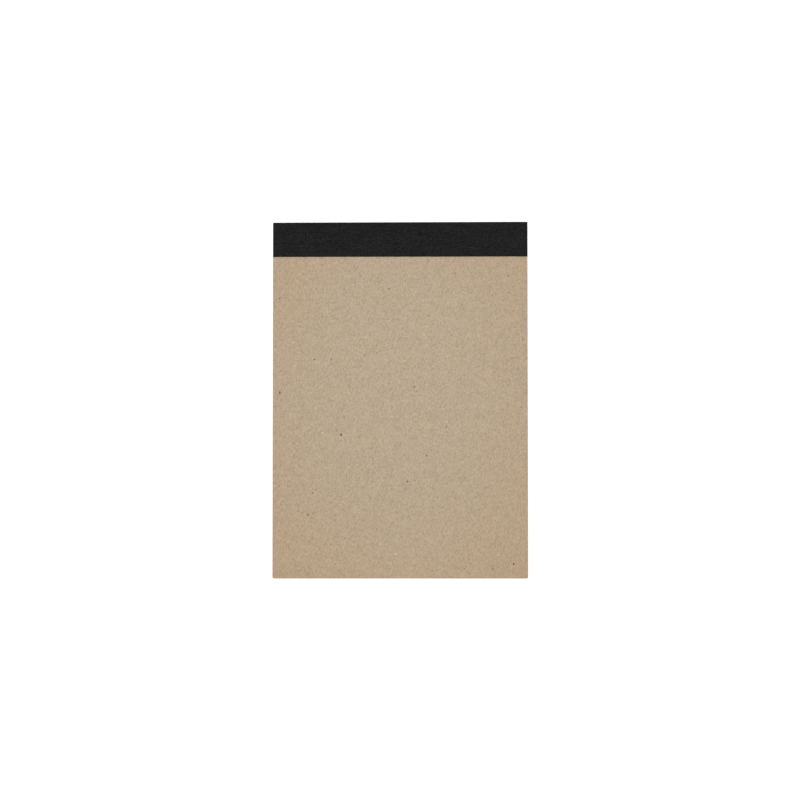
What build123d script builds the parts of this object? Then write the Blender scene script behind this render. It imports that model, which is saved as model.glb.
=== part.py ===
from build123d import *
import math
import os

# A tear-off notepad that lies on its back board: a block of blank leaves padded with glue along the head, a kraft
# board under it and another over it, and one strip of black book cloth that is folded round the head. The strip is
# stuck to the front cover, the glued head and the back board, and its fold over the head is the cover's only hinge.
#
# Millimetres. X runs across the pad, Y up the page to the taped head and Z up from the table. The origin is the
# centre of the pad's outline, on the table.

# Trimmed size of the finished pad, with the cloth on its head
pad_width = 100.0
pad_length = 140.0

# Boards
front_cover_thickness = 0.7
back_board_thickness = 1.0
board_arris_radius = 0.08

# Leaves
leaf_count = 70
leaf_thickness = 0.09
leaf_setback = 0.12
leaf_drift = 0.09

# Padding glue on the head of the leaves
head_glue_thickness = 0.15

# Cloth tape: the strip's full width is shared by the front wing, the spine and the back wing
tape_width = 35.0
tape_thickness = 0.25
tape_front_wing = 13.4
head_corner_radius = 0.3

# Levels, from the table up
back_board_bottom = tape_thickness
leaves_bottom = back_board_bottom + back_board_thickness
leaves_top = leaves_bottom + leaf_count * leaf_thickness
cover_bottom = leaves_top
cover_top = cover_bottom + front_cover_thickness

# Places along the pad: the foot is the free end and the head is the bound one
foot_y = -pad_length / 2
tape_face_y = pad_length / 2
board_head_y = tape_face_y - tape_thickness
leaf_head_y = board_head_y - head_glue_thickness
front_wing_edge_y = tape_face_y - tape_front_wing

# The back wing is what the front wing and the spine leave of the strip, measured along the middle of the cloth
cloth_middle = tape_thickness / 2
spine_run = cover_top - back_board_bottom + tape_thickness
corner_bend_radius = head_corner_radius + cloth_middle
corner_saving = corner_bend_radius * (2 - math.pi / 2)
tape_back_wing = tape_width - tape_front_wing - spine_run + tape_thickness + 2 * corner_saving
back_wing_edge_y = tape_face_y - tape_back_wing

# Successive leaves settle a little out of line. Turning by the golden angle never repeats, so no two run together.
golden_angle = math.pi * (3 - math.sqrt(5))


def board(bottom, thickness, head_corner):
    """A guillotined board: square corners, arrises just broken, and one head edge crushed round by the tape."""
    blank = Pos(0, foot_y, bottom) * Box(
        pad_width, board_head_y - foot_y, thickness, align=(Align.CENTER, Align.MIN, Align.MIN)
    )
    faces = blank.faces().sort_by(Axis.Z)
    taped_face = faces[-1] if head_corner == "top" else faces[0]
    taped_edge = taped_face.edges().sort_by(Axis.Y)[-1]
    rounded = fillet(taped_edge, head_corner_radius)
    outer_face = rounded.faces().filter_by(GeomType.PLANE).filter_by(Axis.Z)
    outer_face = outer_face.sort_by(Axis.Z)[-1 if head_corner == "top" else 0]
    foot_edge = outer_face.edges().sort_by(Axis.Y)[0]
    side_edges = outer_face.edges().filter_by(Axis.Y)
    return fillet([foot_edge, *side_edges], board_arris_radius)


def page_block():
    """All leaves as one stack. Each is flush at the glued head and stands off the other three edges by its drift."""
    leaf_width = pad_width - 2 * leaf_setback
    leaf_length = leaf_head_y - foot_y - leaf_setback
    leaves = []
    for number in range(leaf_count):
        turn = number * golden_angle
        sideways = leaf_drift * math.sin(turn)
        shortening = leaf_drift * math.cos(turn)
        leaf = Box(
            leaf_width, leaf_length - shortening, leaf_thickness, align=(Align.CENTER, Align.MAX, Align.MIN)
        )
        leaves.append(Pos(sideways, leaf_head_y, leaves_bottom + number * leaf_thickness) * leaf)
    return Part() + leaves


def head_glue():
    """The film of padding glue between the leaves and the cloth."""
    return Pos(0, leaf_head_y, leaves_bottom) * Box(
        pad_width - 2 * leaf_setback,
        head_glue_thickness,
        leaves_top - leaves_bottom,
        align=(Align.CENTER, Align.MIN, Align.MIN),
    )


def folded_tape():
    """The whole strip, as it lies round the head: front wing, spine and back wing."""
    wrapped_outline = FilletPolyline(
        (front_wing_edge_y, cover_top),
        (board_head_y, cover_top),
        (board_head_y, back_board_bottom),
        (back_wing_edge_y, back_board_bottom),
        radius=head_corner_radius,
    )
    section = make_face(offset(wrapped_outline, tape_thickness, side=Side.LEFT))
    across = Plane(origin=(-pad_width / 2, 0, 0), x_dir=(0, 1, 0), z_dir=(1, 0, 0))
    return extrude(across * section, pad_width)


# The cloth folds where the cover lifts off the leaves, so it is parted at that level
hinge_level = Plane.XY.offset(cover_bottom)
tape = folded_tape()

pieces = {
    "front_cover": board(cover_bottom, front_cover_thickness, "top"),
    "page_block": page_block(),
    "back_board": board(back_board_bottom, back_board_thickness, "bottom"),
    "head_glue": head_glue(),
    "tape_front": split(tape, bisect_by=hinge_level, keep=Keep.TOP),
    "tape_spine": split(tape, bisect_by=hinge_level, keep=Keep.BOTTOM),
}

os.makedirs("parts", exist_ok=True)
for name, piece in pieces.items():
    export_step(piece, f"parts/{name}.step")
    size = piece.bounding_box().size
    print(f"{name}: {size.X:.2f} x {size.Y:.2f} x {size.Z:.2f} mm, {piece.volume:.0f} mm3")

print(f"back wing {tape_back_wing:.2f} mm, cover level {cover_bottom:.2f} to {cover_top:.2f} mm")
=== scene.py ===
import bpy
import bmesh
import math
from mathutils import Euler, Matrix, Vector, noise


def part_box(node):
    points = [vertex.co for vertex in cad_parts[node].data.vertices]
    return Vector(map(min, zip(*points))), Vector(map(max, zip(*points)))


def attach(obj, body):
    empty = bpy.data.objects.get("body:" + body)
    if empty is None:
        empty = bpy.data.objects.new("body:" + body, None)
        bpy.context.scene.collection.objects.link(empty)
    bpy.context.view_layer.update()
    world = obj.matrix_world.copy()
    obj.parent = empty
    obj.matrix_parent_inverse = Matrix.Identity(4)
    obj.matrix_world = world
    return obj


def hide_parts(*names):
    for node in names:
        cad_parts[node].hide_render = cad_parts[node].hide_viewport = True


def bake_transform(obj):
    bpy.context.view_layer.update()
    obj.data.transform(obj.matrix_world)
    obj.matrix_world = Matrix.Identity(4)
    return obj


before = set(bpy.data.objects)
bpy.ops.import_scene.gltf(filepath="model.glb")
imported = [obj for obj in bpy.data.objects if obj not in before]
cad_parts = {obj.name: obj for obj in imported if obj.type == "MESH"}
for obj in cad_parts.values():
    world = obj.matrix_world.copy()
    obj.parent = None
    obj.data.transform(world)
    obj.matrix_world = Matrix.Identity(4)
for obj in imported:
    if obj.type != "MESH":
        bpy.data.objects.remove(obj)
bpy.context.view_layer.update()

mm = 0.001
samePlace = 0.001 * mm             # closer than this counts as touching

# Places that every piece is set against, at rest
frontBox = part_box("front_cover")
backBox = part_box("back_board")
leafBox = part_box("page_block")
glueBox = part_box("head_glue")
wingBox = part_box("tape_front")
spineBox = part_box("tape_spine")
padWidth = frontBox[1].x - frontBox[0].x
footY = backBox[0].y
headY = spineBox[1].y
topZ = wingBox[1].z
hingeZ = frontBox[0].z

# The head is trimmed a little out of square: its left end falls short of the right one
trim = {"headFall": 0.36 * mm}


def outOfSquare(spot):
    # nothing at the foot, all of it at the head
    share = (spot.y - footY) / (headY - footY)
    spot.y -= trim["headFall"] * share * (0.5 - spot.x / padWidth)


def wander(spot, size, octaves=2):
    # noise from about -1 to 1, with features about as large as size
    return noise.fractal(spot / size, 1.0, 2.0, octaves, noise_basis="PERLIN_ORIGINAL")


# Node helpers. A value that is a socket is linked, and any other is typed in.

def plug(tree, socket, value):
    if isinstance(value, bpy.types.NodeSocket):
        tree.links.new(value, socket)
    elif socket.type == "RGBA" and len(value) == 3:
        socket.default_value = (*value, 1)
    else:
        socket.default_value = value


def put(tree, kind, settings=None, **inputs):
    node = tree.nodes.new("ShaderNode" + kind)
    for label, value in (settings or {}).items():
        setattr(node, label, value)
    for label, value in inputs.items():
        plug(tree, node.inputs[label.replace("_", " ")], value)
    return node


def calc(tree, operation, *values):
    node = put(tree, "Math", {"operation": operation})
    for socket, value in zip(node.inputs, values):
        plug(tree, socket, value)
    return node.outputs[0]


def calcVector(tree, operation, *values):
    node = put(tree, "VectorMath", {"operation": operation})
    sockets = [node.inputs[0], node.inputs[3 if operation == "SCALE" else 1]]
    for socket, value in zip(sockets, values):
        plug(tree, socket, value)
    return node.outputs["Value" if operation == "DISTANCE" else "Vector"]


def ramp(tree, value, low, high, outLow=0.0, outHigh=1.0):
    node = put(tree, "MapRange", {"interpolation_type": "SMOOTHSTEP"})
    for socket, number in zip(node.inputs, (value, low, high, outLow, outHigh)):
        plug(tree, socket, number)
    return node.outputs[0]


def blendColour(tree, share, first, second):
    node = put(tree, "Mix", {"data_type": "RGBA"})
    for index, value in ((0, share), (6, first), (7, second)):
        plug(tree, node.inputs[index], value)
    return node.outputs[2]


def layered(tree, start, values, weights):
    # start plus weight times (value - 0.5), for each value that has a weight
    total = start - 0.5 * sum(weights.values())
    for name, weight in weights.items():
        total = calc(tree, "MULTIPLY_ADD", values[name], weight, total)
    return total


def whiteNoise(tree, dimensions, **inputs):
    return put(tree, "TexWhiteNoise", {"noise_dimensions": dimensions}, **inputs).outputs["Value"]


def newGroup(name, inputs, outputs):
    tree = bpy.data.node_groups.new(name, "ShaderNodeTree")
    for label, value in inputs.items():
        kind = "NodeSocketVector" if hasattr(value, "__len__") else "NodeSocketFloat"
        socket = tree.interface.new_socket(label, in_out="INPUT", socket_type=kind)
        socket.default_value = value
    for label in outputs:
        tree.interface.new_socket(label, in_out="OUTPUT", socket_type="NodeSocketFloat")
    return tree, tree.nodes.new("NodeGroupInput").outputs, tree.nodes.new("NodeGroupOutput").inputs


def useGroup(tree, group, **inputs):
    return put(tree, "Group", {"node_tree": group}, **inputs).outputs


def newMaterial(name, **constants):
    material = bpy.data.materials.new(name)
    material.use_nodes = True
    tree = material.node_tree
    shader = tree.nodes["Principled BSDF"]
    for label, value in constants.items():
        plug(tree, shader.inputs[label.replace("_", " ")], value)
    return material, tree, shader


def inMillimetres(tree):
    # object coordinates as millimetres, so that every scale below is a count to the millimetre
    place = put(tree, "TexCoord").outputs["Object"]
    return put(tree, "Mapping", Vector=place, Scale=(1000, 1000, 1000)).outputs[0]


def cutEdgeMask(tree):
    return put(tree, "Attribute", {"attribute_name": "cutEdge"}).outputs["Fac"]


def dress(tree, shader, colour, rough, height, depth):
    bump = put(tree, "Bump", Strength=1.0, Distance=depth, Height=height)
    tree.links.new(colour, shader.inputs["Base Color"])
    tree.links.new(rough, shader.inputs["Roughness"])
    tree.links.new(bump.outputs[0], shader.inputs["Normal"])


# Shared effects

def makeGrainGroup():
    # soft speckle, which Stretch draws out: a small number along an axis makes it long that way
    tree, given, out = newGroup(
        "grain", {"Vector": (0, 0, 0), "Stretch": (1, 1, 1), "Scale": 1.0, "Detail": 2.0}, ["Value"]
    )
    place = calcVector(tree, "MULTIPLY", given["Vector"], given["Stretch"])
    speckle = put(tree, "TexNoise", Vector=place, Scale=given["Scale"], Detail=given["Detail"])
    plug(tree, out["Value"], speckle.outputs["Fac"])
    return tree


def makeFibreGroup():
    # thin wandering hairs: where the noise crosses its middle value. They come and go in patches.
    tree, given, out = newGroup(
        "fibres", {"Vector": (0, 0, 0), "Scale": 1.0, "Width": 0.03, "Bend": 0.5, "Share": 0.5}, ["Value"]
    )
    hair = put(tree, "TexNoise", Vector=given["Vector"], Scale=given["Scale"], Detail=1.0,
               Distortion=given["Bend"])
    away = calc(tree, "ABSOLUTE", calc(tree, "SUBTRACT", hair.outputs["Fac"], 0.5))
    line = ramp(tree, away, 0.0, given["Width"], 1.0, 0.0)
    patchScale = calc(tree, "MULTIPLY", given["Scale"], 1.7)
    patch = put(tree, "TexNoise", Vector=given["Vector"], Scale=patchScale).outputs["Fac"]
    patchFrom = calc(tree, "SUBTRACT", 1.0, given["Share"])
    patchTo = calc(tree, "SUBTRACT", 1.08, given["Share"])
    plug(tree, out["Value"], calc(tree, "MULTIPLY", line, ramp(tree, patch, patchFrom, patchTo)))
    return tree


def makeFleckGroup():
    # scattered chips, each in a cell of its own. Share is how many of the cells hold one.
    tree, given, out = newGroup(
        "flecks", {"Vector": (0, 0, 0), "Scale": 1.0, "Radius": 0.3, "Share": 0.2}, ["Mask"]
    )
    cells = put(tree, "TexVoronoi", Vector=given["Vector"], Scale=given["Scale"])
    reach = calc(tree, "MULTIPLY", given["Radius"], given["Scale"])
    core = calc(tree, "MULTIPLY", reach, 0.45)
    body = ramp(tree, cells.outputs["Distance"], core, reach, 1.0, 0.0)
    pick = put(tree, "SeparateColor", Color=cells.outputs["Color"]).outputs["Red"]
    plug(tree, out["Mask"], calc(tree, "MULTIPLY", body, calc(tree, "LESS_THAN", pick, given["Share"])))
    return tree


grainGroup = makeGrainGroup()
fibreGroup = makeFibreGroup()
fleckGroup = makeFleckGroup()


def makeGrain(tree, place, table):
    # one speckle for each row of a table: its scale, how it is drawn out, and its detail
    return {
        name: useGroup(tree, grainGroup, Vector=place, Scale=scale, Stretch=stretch, Detail=detail)["Value"]
        for name, (scale, stretch, detail) in table.items()
    }


# Kraft board. Tone weights are shares of the colour's own brightness.
kraft = {
    # the first colour is the middle's, with painted sheen in it; the next is the edges', where that painted
    # sheen has faded
    "tone": (0.493, 0.392, 0.279),
    "paintedSheenRimTone": (0.465, 0.329, 0.209),      # colour at the edges, where the painted sheen has faded: the middle is painted paler and greyer, as if the overhead light shone off it
    "paintedSheenCentre": (-1.0, 7.0, 8.0),         # middle of the painted sheen, the palest place, in millimetres
    "paintedSheenStretch": (1.39, 1.0, 1.0),        # the painted sheen falls off quicker across the board than along it
    "paintedSheenFrom": 17.0,
    "paintedSheenTo": 150.0,
    "fleckTone": (0.115, 0.080, 0.050),
    "paleTone": (0.700, 0.590, 0.440),
    "cutTone": (0.450, 0.350, 0.244),
    "swing": (1.0, 1.12, 1.31),            # how much more the tone moves green and blue than red
    "warmth": (0.066, 0.0, -0.11),         # patches that lean to orange, or the other way to grey
    "rough": 0.88,
    "relief": 0.035 * mm,
    "hairRelief": 0.12,
    "chipRelief": 0.15,
    "grain": {                             # scale, how it is drawn out, and detail
        "drift": (0.05, (1, 1, 1), 2.0),
        "clouds": (0.35, (1, 0.7, 1), 3.0),
        "strands": (2.4, (1.1, 0.40, 1), 2.0),
        "dust": (4.5, (1, 1, 1), 1.0),
        "patches": (0.3, (1, 1, 1), 2.0),
        "plies": (1.0, (0.5, 0.5, 9.0), 2.0),
    },
    "toneWeights": {"drift": 0.03, "clouds": 0.17, "strands": 0.69, "dust": 0.78},
    "cutWeights": {"plies": 0.9, "dust": 0.4},
    "roughWeights": {"clouds": 0.10, "dust": 0.10},
    "reliefWeights": {"strands": 0.9, "dust": 0.5, "plies": 0.2},
    # hairs lie every way, with more of them up and down the board: turn, squeeze and tone weight
    "hairs": {
        "paleA": (0.5, 0.30, 0.07),
        "paleB": (2.2, 0.40, 0.06),
        "dark": (-0.2, 0.30, -0.09),
    },
    "hairScale": 0.9,
    "hairWidth": 0.025,
    "hairBend": 0.6,
    "hairShare": 0.5,
    # chips of bark and of bleached pulp: scale of their cells, radius, share of the cells, and strength
    "flecks": {
        "small": (0.55, 0.27, 0.45, 0.62),
        "large": (0.17, 0.42, 0.22, 0.7),
        "dashes": (0.5, 0.22, 0.6, 0.5),
        "pale": (0.36, 0.32, 0.34, 0.75),
    },
    "ragScale": 2.5,                       # how their outlines are torn
    "ragReach": 0.5,
    "dashTurn": 0.15,                      # dashes lean a little, and are long up and down the board
    "dashSqueeze": 0.4,
    "dashShift": (13, 29, 7),              # these keep the kinds of chip from falling on each other
    "paleShift": (37, 11, 5),
    "coreShare": 0.5,                      # a chip is whole out to this share of its radius,
    "fadeShare": 1.15,                     # and gone at this one
    # the chips that stand out on the cover: x, y and radius in millimetres, how dark, and height over width
    "chips": (
        (-23.2, -13.8, 0.54, 0.88, 1.0),
        (-47.2, 2.7, 0.36, 0.90, 1.9),
        (44.3, -64.4, 0.42, 0.95, 1.3),
        (2.8, -32.2, 0.40, 0.86, 1.0),
        (-33.6, 15.7, 0.37, 0.88, 1.0),
        (48.3, 23.6, 0.38, 0.55, 1.0),
        (-47.4, 39.7, 0.36, 0.62, 1.3),
        (5.6, 5.0, 0.36, 0.75, 1.0),
        (-36.1, -45.2, 0.42, 0.72, 1.2),
        (21.7, 49.6, 0.36, 0.75, 1.0),
        (-4.5, 43.6, 0.36, 0.66, 1.0),
        (10.3, -22.1, 0.40, 0.65, 1.3),
        (-27.0, 15.7, 0.36, 0.65, 1.0),
    ),
    # and the three palest slivers of pulp
    "slivers": (
        (-1.7, -60.5, 0.48, 0.95, 1.0),
        (-30.5, -13.1, 0.36, 0.90, 1.0),
        (-8.0, -56.5, 0.36, 0.70, 1.0),
    ),
}


def makeKraft():
    material, tree, shader = newMaterial("kraftBoard", IOR=1.45, Specular_IOR_Level=0.2)
    place = inMillimetres(tree)
    grain = makeGrain(tree, place, kraft["grain"])
    tone = layered(tree, 1.0, grain, kraft["toneWeights"])

    hairs = {}
    for name, (turn, squeeze, weight) in kraft["hairs"].items():
        turned = put(tree, "Mapping", Vector=place, Rotation=(0, 0, turn), Scale=(1, squeeze, 1)).outputs[0]
        hairs[name] = useGroup(tree, fibreGroup, Vector=turned, Scale=kraft["hairScale"],
                               Width=kraft["hairWidth"], Bend=kraft["hairBend"],
                               Share=kraft["hairShare"])["Value"]
        tone = calc(tree, "MULTIPLY_ADD", hairs[name], weight, tone)

    # painted sheen: paler and greyer at its middle, as if lit from overhead, going darker and warmer out to
    # the rim
    offCentre = calcVector(tree, "SUBTRACT", place, kraft["paintedSheenCentre"])
    offCentre = calcVector(tree, "MULTIPLY", offCentre, kraft["paintedSheenStretch"])
    fromCentre = calcVector(tree, "DISTANCE", offCentre, (0, 0, 0))
    paintedSheenFade = ramp(tree, fromCentre, kraft["paintedSheenFrom"], kraft["paintedSheenTo"])
    colour = blendColour(tree, paintedSheenFade, kraft["tone"], kraft["paintedSheenRimTone"])
    swing = calcVector(tree, "SCALE", kraft["swing"], calc(tree, "SUBTRACT", tone, 1.0))
    warmth = calcVector(tree, "SCALE", kraft["warmth"], calc(tree, "SUBTRACT", grain["patches"], 0.5))
    change = calcVector(tree, "ADD", calcVector(tree, "ADD", swing, warmth), (1, 1, 1))
    colour = calcVector(tree, "MULTIPLY", colour, change)

    # strewn chips and slivers
    rag = put(tree, "TexNoise", Vector=place, Scale=kraft["ragScale"], Detail=2.0).outputs["Color"]
    ragged = calcVector(tree, "ADD", place, calcVector(tree, "SCALE", rag, kraft["ragReach"]))
    upright = put(tree, "Mapping", Vector=ragged, Location=kraft["dashShift"],
                  Rotation=(0, 0, kraft["dashTurn"]), Scale=(1, kraft["dashSqueeze"], 1)).outputs[0]
    apart = calcVector(tree, "ADD", ragged, kraft["paleShift"])
    masks = {}
    strewn = {}
    for name, (scale, radius, share, strength) in kraft["flecks"].items():
        where = {"dashes": upright, "pale": apart}.get(name, ragged)
        masks[name] = useGroup(tree, fleckGroup, Vector=where, Scale=scale, Radius=radius,
                               Share=share)["Mask"]
        strewn[name] = calc(tree, "MULTIPLY", masks[name], strength)
    dark = calc(tree, "MAXIMUM", strewn["small"], strewn["large"])
    dark = calc(tree, "MAXIMUM", dark, strewn["dashes"])
    bright = strewn["pale"]

    def spotAt(x, y, radius, depth, tall):
        # the rag has moved every point by half its reach on average
        moved = kraft["ragReach"] / 2
        centre = (x + moved, y + moved, frontBox[1].z / mm + moved)
        off = calcVector(tree, "MULTIPLY", calcVector(tree, "SUBTRACT", ragged, centre), (1, 1 / tall, 1))
        away = calcVector(tree, "DISTANCE", off, (0, 0, 0))
        return ramp(tree, away, radius * kraft["coreShare"], radius * kraft["fadeShare"], depth, 0.0)

    for chip in kraft["chips"]:
        dark = calc(tree, "MAXIMUM", dark, spotAt(*chip))
    for sliver in kraft["slivers"]:
        bright = calc(tree, "MAXIMUM", bright, spotAt(*sliver))
    colour = blendColour(tree, dark, colour, kraft["fleckTone"])
    colour = blendColour(tree, bright, colour, kraft["paleTone"])

    # the guillotined edges are darker, with the plies showing as lines
    plyTone = calcVector(tree, "SCALE", kraft["cutTone"], layered(tree, 1.0, grain, kraft["cutWeights"]))
    colour = blendColour(tree, cutEdgeMask(tree), colour, plyTone)

    height = layered(tree, 0.5, grain, kraft["reliefWeights"])
    height = calc(tree, "MULTIPLY_ADD", hairs["paleA"], kraft["hairRelief"], height)
    height = calc(tree, "MULTIPLY_ADD", hairs["paleB"], kraft["hairRelief"], height)
    height = calc(tree, "MULTIPLY_ADD", masks["large"], kraft["chipRelief"], height)
    rough = layered(tree, kraft["rough"], grain, kraft["roughWeights"])
    dress(tree, shader, colour, rough, height, kraft["relief"])
    return material


# Leaves
paper = {
    "tone": (0.86, 0.845, 0.80),
    "leafPitch": 0.09,             # in millimetres
    "cutShade": 0.99,
    "rough": 0.78,
    "relief": 0.012 * mm,
    "grain": {                     # streak is the drag of the knife, and lift the clumps that take more light
        "drift": (0.06, (1, 1, 1), 2.0),
        "look": (0.8, (1, 1, 1), 3.0),
        "tooth": (5.0, (1, 1, 1), 2.0),
        "streak": (0.5, (0.5, 0.5, 14.0), 3.0),
        "lift": (0.9, (0.05, 0.05, 1.6), 1.0),
    },
    "toneWeights": {"drift": 0.03, "look": 0.03, "tooth": 0.04},
    "cutWeights": {"shade": 0.16, "streak": 0.45, "lift": 0.25},
    "roughWeights": {"look": 0.08, "tooth": 0.10},
    "reliefWeights": {"tooth": 0.8, "streak": 0.3},
}


def makePaper():
    material, tree, shader = newMaterial("leafPaper", IOR=1.45, Specular_IOR_Level=0.25)
    place = inMillimetres(tree)
    grain = makeGrain(tree, place, paper["grain"])
    tone = layered(tree, 1.0, grain, paper["toneWeights"])

    # cut edges: each leaf has a shade of its own, the knife drags along it, and some clumps take more light
    level = put(tree, "SeparateXYZ", Vector=place).outputs["Z"]
    level = calc(tree, "SUBTRACT", level, leafBox[0].z / mm)
    leaf = calc(tree, "FLOOR", calc(tree, "DIVIDE", level, paper["leafPitch"]))
    grain["shade"] = whiteNoise(tree, "1D", W=leaf)
    cutTone = layered(tree, paper["cutShade"], grain, paper["cutWeights"])
    tone = calc(tree, "MULTIPLY_ADD", cutEdgeMask(tree), calc(tree, "SUBTRACT", cutTone, 1.0), tone)

    colour = calcVector(tree, "SCALE", paper["tone"], tone)
    rough = layered(tree, paper["rough"], grain, paper["roughWeights"])
    height = layered(tree, 0.5, grain, paper["reliefWeights"])
    dress(tree, shader, colour, rough, height, paper["relief"])
    return material


# Padding glue
glue = {
    "tone": (0.80, 0.77, 0.68),
    "rough": 0.42,
    "relief": 0.03 * mm,
    "grain": {
        "brush": (1.2, (0.2, 1, 1), 3.0),
        "pools": (0.3, (1, 1, 1), 2.0),
    },
    "toneWeights": {"brush": 0.14, "pools": 0.12},
    "roughWeights": {"brush": 0.25, "pools": 0.15},
}


def makeGlue():
    material, tree, shader = newMaterial("paddingGlue", IOR=1.5, Specular_IOR_Level=0.4)
    grain = makeGrain(tree, inMillimetres(tree), glue["grain"])
    colour = calcVector(tree, "SCALE", glue["tone"], layered(tree, 1.0, grain, glue["toneWeights"]))
    rough = layered(tree, glue["rough"], grain, glue["roughWeights"])
    dress(tree, shader, colour, rough, grain["brush"], glue["relief"])
    return material


# Book cloth. Its pattern follows the strip, by the UV map, which is in millimetres.
cloth = {
    "tone": (0.0150, 0.0150, 0.0151),
    # painted shade: the low places between the heavy threads are painted darker
    "gapPaintedShadeTone": (0.006, 0.006, 0.006),
    "threadPitch": 0.45,           # between the heavy threads that run across the pad
    "crossPitch": 0.40,            # between the fine threads that run round the head
    "strayReach": 0.35,            # how far the threads stray from their lines
    "strayScale": 0.35,
    "rough": 0.72,
    "relief": 0.05 * mm,
    "fuzzRelief": 0.5,
    "grain": {
        "slub": (1.7, (0.10, 1, 1), 1.0),
        "fuzz": (2.1, (0.80, 1, 1), 0.0),
        "wear": (0.12, (1, 1, 1), 2.0),
    },
    "toneWeights": {"slub": 0.6, "fuzz": 1.3, "wear": 0.45, "thread": 0.15, "knot": 0.6},
    "roughWeights": {"fuzz": 0.20, "slub": 0.15},
}


def makeWeaveGroup():
    # heavy threads along X. Each dips, to under half its height, below every other fine thread it meets.
    tree, given, out = newGroup(
        "weave", {"Vector": (0, 0, 0), "Pitch": 0.45, "Cross": 0.40}, ["Height", "PaintedGapShade", "Thread", "Knot"]
    )
    part = put(tree, "SeparateXYZ", Vector=given["Vector"]).outputs
    row = calc(tree, "DIVIDE", part["Y"], given["Pitch"])
    column = calc(tree, "DIVIDE", part["X"], given["Cross"])
    thread = calc(tree, "FLOOR", row)
    crown = calc(tree, "SINE", calc(tree, "MULTIPLY", calc(tree, "FRACT", row), math.pi))
    shifted = calc(tree, "MULTIPLY_ADD", thread, 0.5, calc(tree, "MULTIPLY", column, 0.5))
    over = calc(tree, "ABSOLUTE", calc(tree, "SINE", calc(tree, "MULTIPLY", shifted, math.pi)))
    height = calc(tree, "MULTIPLY", calc(tree, "SQRT", crown), ramp(tree, over, 0.0, 0.9, 0.45, 1.0))
    knot = put(tree, "CombineXYZ", X=calc(tree, "FLOOR", shifted), Y=thread).outputs[0]
    plug(tree, out["Height"], height)
    # mask for painted shade, where the weave sinks low between threads
    plug(tree, out["PaintedGapShade"], ramp(tree, height, 0.15, 0.6, 1.0, 0.0))
    plug(tree, out["Thread"], whiteNoise(tree, "1D", W=thread))
    plug(tree, out["Knot"], whiteNoise(tree, "2D", Vector=knot))
    return tree


weaveGroup = makeWeaveGroup()


def makeCloth():
    material, tree, shader = newMaterial(
        "bookCloth", IOR=1.45, Specular_IOR_Level=0.06, Sheen_Weight=0.02, Sheen_Roughness=0.5
    )
    flat = put(tree, "UVMap", {"uv_map": "strip"}).outputs["UV"]
    grain = makeGrain(tree, flat, cloth["grain"])
    stray = put(tree, "TexNoise", Vector=flat, Scale=cloth["strayScale"]).outputs["Color"]
    strayed = calcVector(tree, "ADD", flat, calcVector(tree, "SCALE", stray, cloth["strayReach"]))
    weave = useGroup(tree, weaveGroup, Vector=strayed, Pitch=cloth["threadPitch"],
                     Cross=cloth["crossPitch"])
    grain["thread"] = weave["Thread"]
    grain["knot"] = weave["Knot"]

    colour = calcVector(tree, "SCALE", cloth["tone"], layered(tree, 1.0, grain, cloth["toneWeights"]))
    # painted shade in the gaps between threads
    colour = blendColour(tree, weave["PaintedGapShade"], colour, cloth["gapPaintedShadeTone"])
    rough = layered(tree, cloth["rough"], grain, cloth["roughWeights"])
    height = calc(tree, "MULTIPLY_ADD", grain["fuzz"], cloth["fuzzRelief"], weave["Height"])
    dress(tree, shader, colour, rough, height, cloth["relief"])
    return material


kraftBoard = makeKraft()
leafPaper = makePaper()
paddingGlue = makeGlue()
bookCloth = makeCloth()
print("materials done")


# Mesh helpers
sharpTurn = math.radians(35)       # faces that turn by more than this meet in a sharp edge


def boxMesh(low, high):
    mesh = bmesh.new()
    bmesh.ops.create_cube(mesh, size=1)
    bmesh.ops.scale(mesh, vec=high - low, verts=mesh.verts)
    bmesh.ops.translate(mesh, vec=(low + high) / 2, verts=mesh.verts)
    return mesh


def gridMesh(low, high, z, columns, rows):
    mesh = bmesh.new()
    bmesh.ops.create_grid(mesh, x_segments=columns, y_segments=rows, size=0.5)
    bmesh.ops.scale(mesh, vec=(high.x - low.x, high.y - low.y, 1), verts=mesh.verts)
    bmesh.ops.translate(mesh, vec=((low.x + high.x) / 2, (low.y + high.y) / 2, z), verts=mesh.verts)
    return mesh


def roundEdges(mesh, edges, radius, segments):
    bmesh.ops.bevel(mesh, geom=edges, offset=radius, offset_type="OFFSET", affect="EDGES",
                    segments=segments, profile=0.5, material=-1, clamp_overlap=True)


def runsAlong(edge, axis, shortest):
    run = edge.verts[1].co - edge.verts[0].co
    return run.length > shortest and abs(run[axis]) > 0.95 * run.length


def divideAlong(mesh, axis, spacing, shortest):
    # equal cells no longer than spacing, by cutting every edge that runs along the axis
    edges = [edge for edge in mesh.edges if runsAlong(edge, axis, shortest)]
    longest = max(edge.calc_length() for edge in edges)
    cuts = max(1, round(longest / spacing) - 1)
    bmesh.ops.subdivide_edges(mesh, edges=edges, cuts=cuts, use_grid_fill=True)


def raiseMade(mesh, made, height):
    verts = [item for item in made if isinstance(item, bmesh.types.BMVert)]
    bmesh.ops.translate(mesh, vec=(0, 0, height), verts=verts)


def finishPiece(name, mesh, material, nodes, body=None):
    data = bpy.data.meshes.new(name)
    mesh.to_mesh(data)
    mesh.free()
    data.materials.append(material)
    data.shade_smooth()
    data.set_sharp_from_angle(angle=sharpTurn)
    piece = bpy.data.objects.new(name, data)
    bpy.context.scene.collection.objects.link(piece)
    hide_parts(*nodes)
    if body:
        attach(piece, body)
    print(name, "has", len(data.polygons), "faces")
    return piece


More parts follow.
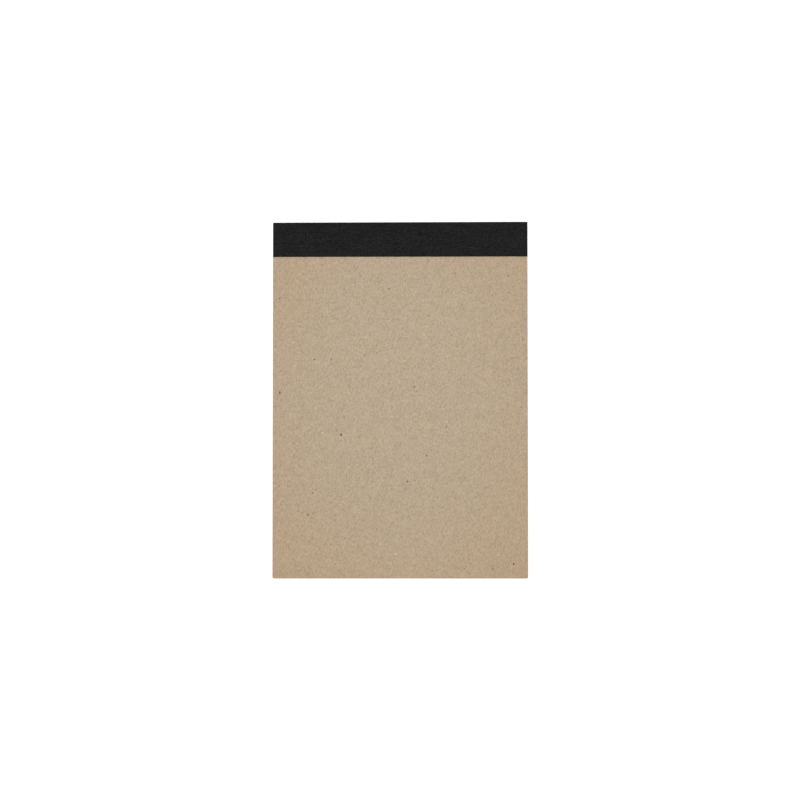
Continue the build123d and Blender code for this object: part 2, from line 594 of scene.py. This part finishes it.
# Boards
board = {
    "arris": 0.09 * mm,
    "arrisSteps": 2,
    "corner": 0.22 * mm,           # the four upright corners, a little blunted
    "cornerSteps": 2,
    "headCorner": 0.3 * mm,        # crushed round by the tape
    "headSteps": 4,
    "squareTurn": 1.2,             # an edge that turns by more than this, in radians, is still sharp
    "cell": 0.75 * mm,
    "plyCell": 0.14 * mm,
    "plyShortest": 0.2 * mm,       # upright edges shorter than this stay whole
    "pitDepth": 0.014 * mm,
    "pitSize": 2.6 * mm,
    "tearDepth": 0.045 * mm,
    "tearSize": 1.1 * mm,
    "tearSquash": 8,               # torn plies are this much flatter than long
    "noiseDetail": 3,
}


def makeBoard(name, node, body, outward):
    low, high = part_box(node)
    mesh = boxMesh(low, high)
    outerZ = high.z if outward > 0 else low.z
    corners = [edge for edge in mesh.edges if runsAlong(edge, 2, 0)]
    roundEdges(mesh, corners, board["corner"], board["cornerSteps"])
    headEdge = [edge for edge in mesh.edges if runsAlong(edge, 0, padWidth / 2)
                and all(abs(vert.co.z - outerZ) < samePlace for vert in edge.verts)
                and all(vert.co.y > high.y - samePlace for vert in edge.verts)]
    roundEdges(mesh, headEdge, board["headCorner"], board["headSteps"])
    arrises = [edge for edge in mesh.edges
               if edge.calc_face_angle(0) > board["squareTurn"] and not runsAlong(edge, 2, 0)
               and edge.verts[0].co.y < high.y - mm]
    roundEdges(mesh, arrises, board["arris"], board["arrisSteps"])

    divideAlong(mesh, 0, board["cell"], padWidth / 2)
    divideAlong(mesh, 1, board["cell"], padWidth / 2)
    divideAlong(mesh, 2, board["plyCell"], board["plyShortest"])
    bmesh.ops.recalc_face_normals(mesh, faces=mesh.faces)

    # pits on the faces, and torn plies along the cut sides, all of it inwards and clear of the neighbours
    cutEdge = mesh.verts.layers.float.new("cutEdge")
    mesh.normal_update()
    for vert in mesh.verts:
        x, y, z = vert.co
        normal = vert.normal.copy()
        side = 1 - abs(normal.z)
        vert[cutEdge] = side
        pits = wander(vert.co, board["pitSize"], board["noiseDetail"])
        tears = wander(Vector((x, y, z * board["tearSquash"])), board["tearSize"], board["noiseDetail"])
        depth = (1 - side) * board["pitDepth"] * max(0, 0.5 + 0.5 * pits)
        depth += side * board["tearDepth"] * max(0, 0.5 + 0.5 * tears)
        vert.co -= normal * depth
        outOfSquare(vert.co)
    return finishPiece(name, mesh, kraftBoard, [node], body)


# Block of leaves
block = {
    "leafCount": 70,
    # up each leaf, in shares of its thickness: its edge, into the gap and out of it
    "leafSteps": [0.8, 0.1, 0.1],
    "lastSteps": [0.8, 0.2],
    "gapFrom": 0.85,               # a point above this share of its leaf lies in the gap
    "slack": 0.02,                 # for rounding, in leaves
    "cell": 2.0 * mm,
    "drift": 0.09 * mm,
    "groove": 0.035 * mm,          # how far the gap between two leaves is set in
    "edgeWander": 0.03 * mm,       # the cut edge isn't quite straight
    "wanderSize": 9 * mm,
    "wanderApart": 3 * mm,         # how unlike two neighbouring leaves are
    "turn": math.pi * (3 - math.sqrt(5)),      # from one leaf's drift to the next, so that none repeats
}


def makeLeafBlock():
    low, high = leafBox
    leafCount = block["leafCount"]
    pitch = (high.z - low.z) / leafCount
    wide = (high.x - low.x) / 2 - block["drift"]
    leafHeadY = high.y
    leafFootY = low.y + block["drift"]
    leafLength = leafHeadY - leafFootY

    # the lowest face, then one wall and one groove for each leaf, pulled up out of its edge
    mesh = gridMesh(Vector((-wide, leafFootY)), Vector((wide, leafHeadY)), low.z,
                    round(2 * wide / block["cell"]), round(leafLength / block["cell"]))
    bottom = list(mesh.faces)
    ring = [edge for edge in mesh.edges if edge.is_boundary]
    for step in block["leafSteps"] * (leafCount - 1) + block["lastSteps"]:
        made = bmesh.ops.extrude_edge_only(mesh, edges=ring)["geom"]
        ring = [item for item in made if isinstance(item, bmesh.types.BMEdge)]
        raiseMade(mesh, made, step * pitch)
    corners = list({vert for face in bottom for vert in face.verts})
    raiseMade(mesh, bmesh.ops.duplicate(mesh, geom=bottom + corners)["geom"], high.z - low.z)
    bmesh.ops.remove_doubles(mesh, verts=mesh.verts, dist=pitch / 40)
    bmesh.ops.recalc_face_normals(mesh, faces=mesh.faces)

    cutEdge = mesh.verts.layers.float.new("cutEdge")
    for vert in mesh.verts:
        x, y, z = vert.co
        up = (z - low.z) / pitch
        leaf = min(int(up + block["slack"]), leafCount - 1)
        betweenFaces = block["slack"] < up < leafCount - block["slack"]
        turned = leaf * block["turn"]
        onSide = abs(abs(x) - wide) < samePlace
        onFoot = abs(y - leafFootY) < samePlace
        onHead = abs(y - leafHeadY) < samePlace
        vert[cutEdge] = 1.0 if (onSide or onFoot or onHead) and betweenFaces else 0.0
        setIn = block["groove"] if up - leaf > block["gapFrom"] and betweenFaces else 0
        ripple = wander(Vector((x, y, leaf * block["wanderApart"])), block["wanderSize"])
        setIn += abs(block["edgeWander"] * ripple)
        if not onHead:
            fromHead = (leafHeadY - y) / leafLength
            vert.co.y += block["drift"] * (0.5 - 0.5 * math.cos(turned)) * fromHead
        vert.co.x += block["drift"] * math.sin(turned)
        if onSide:
            vert.co.x -= math.copysign(setIn, vert.co.x)
        if onFoot:
            vert.co.y += setIn
        outOfSquare(vert.co)
    return finishPiece("leafBlock", mesh, leafPaper, ["page_block"], "pad")


# Film of glue on the heads of the leaves
film = {
    "cell": 1.0 * mm,
    "ripple": 0.02 * mm,
    "rippleSize": 1.5 * mm,
}


def makeGlueFilm():
    low, high = glueBox
    mesh = boxMesh(low, high)
    divideAlong(mesh, 0, film["cell"], padWidth / 2)
    divideAlong(mesh, 2, film["cell"] / 3, film["cell"])
    bmesh.ops.recalc_face_normals(mesh, faces=mesh.faces)
    for vert in mesh.verts:
        # the leaf side stays where the leaves are, and the cut ends pull in a little as it dries
        if abs(abs(vert.co.x) - high.x) < samePlace:
            pull = film["ripple"] * (1.2 + wander(vert.co, film["rippleSize"]))
            vert.co.x -= math.copysign(pull, vert.co.x)
        outOfSquare(vert.co)
    return finishPiece("glueFilm", mesh, paddingGlue, ["head_glue"], "pad")


# Cloth tape: a flat strip, cut to size, with its ribs pressed in and then folded round the head
tape = {
    "flatWidth": padWidth,
    "flatLength": 35 * mm,
    "innerRadius": 0.3 * mm,
    "rowsPerThread": 4,
    "cell": 1.0 * mm,
    "ribDepth": 0.035 * mm,
    "ribWobble": 0.12,             # how far a rib strays, in shares of the threads' pitch
    "wobbleSize": 6 * mm,
    "wobbleSquash": 4,             # and how much quicker that changes from rib to rib than along one
    "fray": 0.05 * mm,             # how unevenly the two long cuts run
    "fraySize": 3 * mm,
    "frayDetail": 3,
    "fraySquash": 3,
    "frontReach": 0.26 * mm,       # the strip was laid this much further onto the cover, off the back
    "askew": 0.11 * mm,            # and this much out of line with the head, from end to end
    "foldReach": 0.36 * mm,        # the cloth turns over this much to each side of the hinge
    "closeReach": 1.3,             # rows lie closer within this many times that
    "closeCuts": 3,
}


def makeRoute():
    # the runs and bends that the middle of the cloth follows: front wing, spine, back wing
    thickness = topZ - frontBox[1].z
    radius = tape["innerRadius"]
    innerHead = headY - thickness
    bend = (radius + thickness / 2) * math.pi / 2
    frontCut = wingBox[0].y - tape["frontReach"]
    backCut = spineBox[0].y + tape["frontReach"]
    return {
        "thickness": thickness,
        "start": Vector((frontCut, frontBox[1].z)),
        "parts": [
            ("run", innerHead - radius - frontCut),
            ("bend", bend),
            ("run", frontBox[1].z - backBox[0].z - 2 * radius),
            ("bend", bend),
            ("run", innerHead - radius - backCut),
        ],
    }


def foldRound(route, along, height):
    # where a point of the flat strip comes to lie, as y and z. height is above the glued side.
    spot = route["start"].copy()
    facing = 0.0
    radius = tape["innerRadius"]
    middle = radius + route["thickness"] / 2
    for kind, length in route["parts"]:
        last = along <= length or (kind, length) == route["parts"][-1]
        part = along if last else length
        if kind == "run":
            spot += Vector((math.cos(facing), math.sin(facing))) * part
        else:
            centre = spot - Vector((-math.sin(facing), math.cos(facing))) * radius
            facing -= part / middle
            spot = centre + Vector((-math.sin(facing), math.cos(facing))) * radius
        if last:
            break
        along -= length
    return spot + Vector((-math.sin(facing), math.cos(facing))) * height


def makeTape():
    route = makeRoute()
    thickness = route["thickness"]
    length = sum(part for kind, part in route["parts"])
    pitch = cloth["threadPitch"] * mm
    mesh = gridMesh(Vector((-tape["flatWidth"] / 2, 0)), Vector((tape["flatWidth"] / 2, length)), 0,
                    round(tape["flatWidth"] / tape["cell"]), round(length / pitch * tape["rowsPerThread"]))

    # closer rows where it turns over with the cover
    turnAt = route["parts"][0][1] + route["parts"][1][1] + frontBox[1].z - tape["innerRadius"] - hingeZ
    closeTo = tape["closeReach"] * tape["foldReach"]
    turning = [edge for edge in mesh.edges if runsAlong(edge, 1, 0)
               and all(abs(vert.co.y - turnAt) < closeTo for vert in edge.verts)]
    bmesh.ops.subdivide_edges(mesh, edges=turning, cuts=tape["closeCuts"], use_grid_fill=True)
    raiseMade(mesh, bmesh.ops.extrude_face_region(mesh, geom=list(mesh.faces))["geom"], thickness)
    bmesh.ops.recalc_face_normals(mesh, faces=mesh.faces)

    # the UV map is the strip laid flat, in millimetres
    strip = mesh.loops.layers.uv.new("strip")
    for face in mesh.faces:
        for loop in face.loops:
            loop[strip].uv = (loop.vert.co.x / mm, loop.vert.co.y / mm)

    for vert in mesh.verts:
        x, along, height = vert.co
        onCut = min(along, length - along) < samePlace
        if height > thickness / 2:
            wobble = wander(Vector((x, along * tape["wobbleSquash"], 0)), tape["wobbleSize"])
            turn = along / pitch + tape["ribWobble"] * wobble
            valley = 0.5 + 0.5 * math.cos(2 * math.pi * turn)
            height -= tape["ribDepth"] * valley ** 2
        if onCut:
            place = Vector((x, along * tape["fraySquash"], 0))
            along += tape["fray"] * wander(place, tape["fraySize"], tape["frayDetail"])
        along -= tape["askew"] * x / padWidth
        y, z = foldRound(route, along, height)
        vert.co = (x, y, z)
        outOfSquare(vert.co)

    piece = finishPiece("clothTape", mesh, bookCloth, ["tape_front", "tape_spine"])
    # from the cover down to the pad: this way round, the half turn takes the cloth over the head
    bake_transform(piece)
    return piece


makeBoard("frontBoard", "front_cover", "cover", 1)
makeBoard("backBoard", "back_board", "pad", -1)
makeLeafBlock()
makeGlueFilm()
makeTape()
print("pieces done")


# Floor, light and camera
stage = {
    "floorSize": 4.0,
    "floorTone": (0.86, 0.86, 0.86),
    "floorGlow": 0.55,             # what the camera sees on top of the floor's own light
    "farGlow": 0.75,               # and far off, where the lamps give out, so that no horizon shows
    "nearEnd": 0.5,                # metres from the middle, for the one and the other
    "farStart": 1.7,
    "skyLight": 0.55,
    "softboxes": (
        # name, place, size, watts
        ("overhead", (0.05, 0.35, 1.5), 1.4, 9.0),
        ("left", (-1.3, -0.2, 0.9), 1.0, 4.0),
        ("right", (1.3, 0.1, 0.9), 1.0, 2.5),
    ),
}

camera = {
    "lens": 160.8,
    "distance": 1.40,
    "tilt": math.radians(3.4),     # towards the head, so the foot is the nearer end
    "aim": (-0.11 * mm, -0.226 * mm, topZ),
}


def seenRays(tree):
    # what the camera sees, straight or in a reflection
    path = put(tree, "LightPath").outputs
    seen = calc(tree, "MAXIMUM", path["Is Camera Ray"], path["Is Glossy Ray"])
    return calc(tree, "MAXIMUM", seen, path["Is Transmission Ray"])


def makeFloor():
    mesh = bmesh.new()
    bmesh.ops.create_grid(mesh, x_segments=1, y_segments=1, size=stage["floorSize"] / 2)
    data = bpy.data.meshes.new("floor")
    mesh.to_mesh(data)
    mesh.free()
    floor = bpy.data.objects.new("floor", data)
    bpy.context.scene.collection.objects.link(floor)
    material, tree, shader = newMaterial("palePaperFloor", Roughness=1.0, Specular_IOR_Level=0.0,
                                         Base_Color=stage["floorTone"])
    away = calcVector(tree, "DISTANCE", put(tree, "TexCoord").outputs["Object"], (0, 0, 0))
    strength = ramp(tree, away, stage["nearEnd"], stage["farStart"], stage["floorGlow"], stage["farGlow"])
    glow = put(tree, "Emission", Color=(1, 1, 1), Strength=strength)
    dim = put(tree, "Emission", Color=(0, 0, 0), Strength=0.0)
    seen = put(tree, "MixShader", Fac=seenRays(tree))
    tree.links.new(dim.outputs[0], seen.inputs[1])
    tree.links.new(glow.outputs[0], seen.inputs[2])
    both = put(tree, "AddShader")
    tree.links.new(shader.outputs[0], both.inputs[0])
    tree.links.new(seen.outputs[0], both.inputs[1])
    tree.links.new(both.outputs[0], tree.nodes["Material Output"].inputs["Surface"])
    data.materials.append(material)


def makeSky():
    world = bpy.data.worlds.new("studio")
    world.use_nodes = True
    tree = world.node_tree
    light = tree.nodes["Background"]
    light.inputs["Color"].default_value = (1, 1, 1, 1)
    light.inputs["Strength"].default_value = stage["skyLight"]
    white = put(tree, "Background", Color=(1, 1, 1), Strength=1.0)
    mix = put(tree, "MixShader", Fac=seenRays(tree))
    tree.links.new(light.outputs[0], mix.inputs[1])
    tree.links.new(white.outputs[0], mix.inputs[2])
    tree.links.new(mix.outputs[0], tree.nodes["World Output"].inputs["Surface"])
    bpy.context.scene.world = world


def makeSoftbox(name, place, size, watts):
    data = bpy.data.lights.new(name, "AREA")
    data.shape = "SQUARE"
    data.size = size
    data.energy = watts
    lamp = bpy.data.objects.new(name, data)
    lamp.location = place
    lamp.rotation_euler = (-Vector(place)).to_track_quat("-Z", "Y").to_euler()
    bpy.context.scene.collection.objects.link(lamp)


def makeCamera():
    data = bpy.data.cameras.new("camera")
    data.lens = camera["lens"]
    data.clip_start = 0.05
    data.clip_end = 20
    view = bpy.data.objects.new("camera", data)
    turn = Euler((camera["tilt"], 0, 0))
    back = turn.to_matrix() @ Vector((0, 0, 1))
    view.location = Vector(camera["aim"]) + back * camera["distance"]
    view.rotation_euler = turn
    bpy.context.scene.collection.objects.link(view)
    bpy.context.scene.camera = view


makeFloor()
makeSky()
for name, place, size, watts in stage["softboxes"]:
    makeSoftbox(name, place, size, watts)
makeCamera()
bpy.context.scene.view_settings.view_transform = "Standard"
print("stage done")
